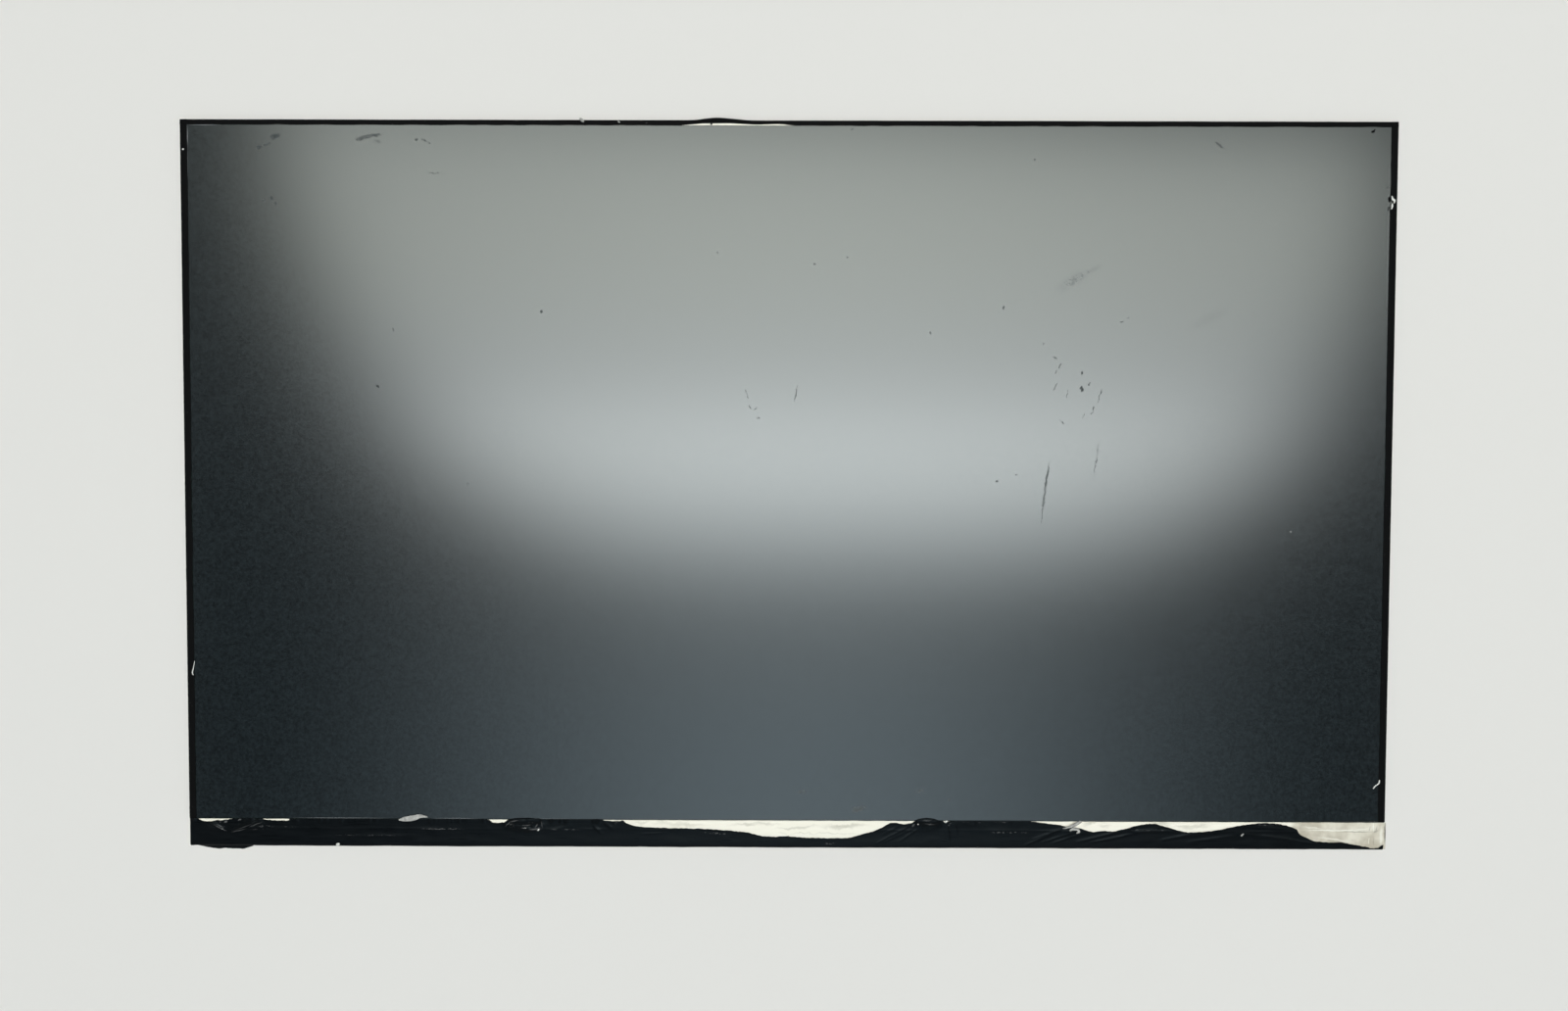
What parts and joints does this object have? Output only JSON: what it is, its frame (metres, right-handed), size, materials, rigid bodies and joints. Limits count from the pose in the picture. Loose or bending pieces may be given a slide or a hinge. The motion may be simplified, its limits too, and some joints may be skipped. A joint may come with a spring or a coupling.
{
  "type": "laptop screen panel",
  "caption": "Bare laptop display module: flat screen with matte front, black tape rims, torn film along the bottom strip and a driver board pocket behind it.",
  "frame": {"origin": "middle of the outline on the flat back face", "axes": "+X to the screen's right, +Y to its top edge, +Z out of the screen; it lies on its back"},
  "size_m": [0.3007, 0.1829, 0.0031],
  "materials": {
    "screen_film": "matte",
    "polariser_film": "satin",
    "black_film": "satin",
    "cream_film": "satin",
    "grey_film": "matte",
    "chassis_metal": "satin",
    "frame_moulding": "matte",
    "rail_moulding": "matte",
    "reflector": "satin",
    "light_guide": "gloss",
    "optical_sheet": "satin",
    "adhesive": "matte",
    "cell_glass": "gloss",
    "cell_fill": "gloss",
    "flex": "satin",
    "lamp_flex": "matte",
    "lamp": "matte",
    "chip": "matte",
    "board": "satin",
    "ferrite": "matte",
    "capacitor": "satin",
    "connector_plastic": "matte",
    "connector_metal": "satin",
    "contact": "polished"
  },
  "bodies": {
    "root": {"rear_chassis": "chassis_metal", "mould_frame": "frame_moulding", "reflector_sheet": "reflector", "light_guide_plate": "light_guide", "led_flex": "lamp_flex", "leds": "lamp", "lower_diffuser_sheet": "optical_sheet", "lower_prism_sheet": "optical_sheet", "upper_prism_sheet": "optical_sheet", "upper_diffuser_sheet": "optical_sheet", "rim_adhesive": "adhesive", "rear_polariser": "polariser_film", "array_glass": "cell_glass", "cell_seal": "adhesive", "liquid_crystal_layer": "cell_fill", "colour_filter_glass": "cell_glass", "front_polariser": "screen_film", "ledge_rail": "rail_moulding", "control_board": "board", "board_adhesive": "adhesive", "timing_chip": "chip", "memory_chip": "chip", "power_chip": "chip", "backlight_chip": "chip", "inductors": "ferrite", "capacitors": "capacitor", "resistors": "chip", "connector_shell": "connector_metal", "connector_body": "connector_plastic", "connector_contacts": "contact", "left_edge_tape": "black_film", "right_edge_tape": "black_film", "top_edge_tape": "black_film", "top_white_film": "cream_film", "bottom_white_film": "cream_film", "bottom_black_film": "black_film", "black_film_fold": "black_film", "grey_film_shreds": "grey_film", "driver_film_1": "flex", "driver_chip_1": "chip", "driver_film_2": "flex", "driver_chip_2": "chip", "driver_film_3": "flex", "driver_chip_3": "chip", "driver_film_4": "flex", "driver_chip_4": "chip"}
  },
  "joints": []
}
